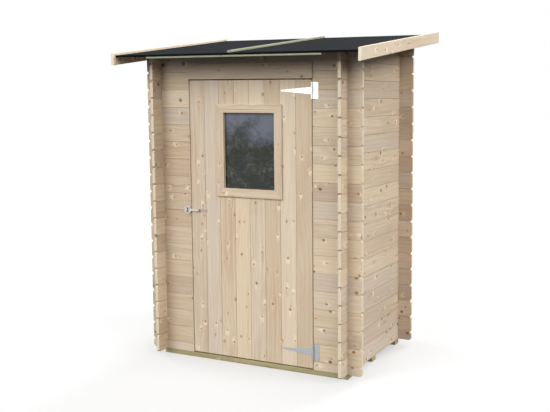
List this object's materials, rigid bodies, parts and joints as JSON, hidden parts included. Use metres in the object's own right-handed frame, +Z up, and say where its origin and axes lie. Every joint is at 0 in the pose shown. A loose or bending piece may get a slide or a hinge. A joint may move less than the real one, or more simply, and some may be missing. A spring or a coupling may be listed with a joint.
{
  "type": "tool shed",
  "caption": "Small tool shed of interlocking spruce boards with a hinged, windowed door and a single-pitch felt roof.",
  "frame": {"origin": "under the middle of the outer box, on the ground", "axes": "+Z up, the door faces -Y, +X to the right seen from the front"},
  "size_m": [1.644, 1.255, 2.0434],
  "materials": {
    "spruce": "matte",
    "treated": "matte",
    "felt": "matte",
    "zinc": "satin",
    "glass": "gloss"
  },
  "bodies": {
    "shed": {"skid_front": "treated", "skid_middle": "treated", "skid_rear": "treated", "floor_boards": "spruce", "front_wall_left": "spruce", "front_wall_right": "spruce", "front_wall_over_door": "spruce", "left_wall": "spruce", "right_wall": "spruce", "back_wall": "spruce", "door_cover_board": "spruce", "door_post_left": "spruce", "door_post_right": "spruce", "door_head_stop": "spruce", "purlin_front": "spruce", "purlin_rear": "spruce", "roof_deck": "spruce", "felt_left": "felt", "felt_right": "felt", "bargeboard_left": "spruce", "bargeboard_right": "spruce", "seam_batten": "treated", "front_batten": "treated", "upper_hinge_plate": "zinc", "upper_hinge_pin": "zinc", "lower_hinge_plate": "zinc", "lower_hinge_pin": "zinc", "latch_staple": "zinc"},
    "door": {"door_leaf": "spruce", "door_ledges": "spruce", "door_brace": "spruce", "window_trim_outer": "spruce", "window_trim_inner": "spruce", "window_glass": "glass", "upper_hinge_strap": "zinc", "lower_hinge_strap": "zinc", "hasp_base": "zinc", "hasp_pin": "zinc"},
    "hasp": {"hasp_strap": "zinc"}
  },
  "joints": [
    {"name": "door_hinge", "type": "hinge", "parent": "shed", "child": "door", "pos_m": [0.42, -0.4105, 0.9], "axis": [0, 0, 1], "range_deg": [0, 150]},
    {"name": "hasp_hinge", "type": "hinge", "parent": "door", "child": "hasp", "pos_m": [-0.3605, -0.4115, 0.931], "axis": [0, 0, 1], "range_deg": [0, 160]}
  ]
}
